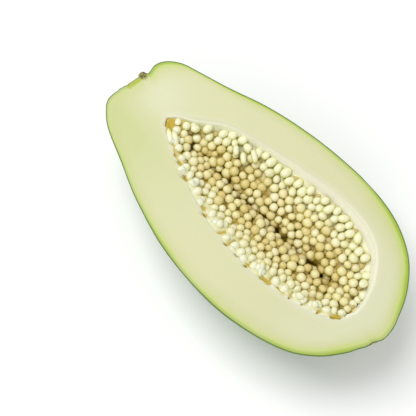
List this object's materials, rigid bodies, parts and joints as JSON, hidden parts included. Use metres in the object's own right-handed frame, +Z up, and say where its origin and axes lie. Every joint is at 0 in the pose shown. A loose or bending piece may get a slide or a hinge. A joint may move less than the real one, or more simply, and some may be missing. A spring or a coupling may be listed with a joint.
{
  "type": "papaya half",
  "caption": "Half of a green papaya, cut lengthwise and lying on its back: thick pale flesh, thin green skin, a pointed seed cavity filled with round seeds, and a stalk scar.",
  "frame": {"origin": "bottom centre of the half as it lies on its back, on the surface it rests on", "axes": "+X from the stalk scar to the blossom end, +Y across the fruit, +Z up out of the cut face"},
  "size_m": [0.2416, 0.1328, 0.062],
  "materials": {
    "skin": "waxy green skin",
    "flesh": "wet pale cut flesh",
    "seeds": "wet seed coats"
  },
  "bodies": {
    "root": {"papaya_half": "skin", "seed_mass": "seeds"}
  },
  "joints": []
}
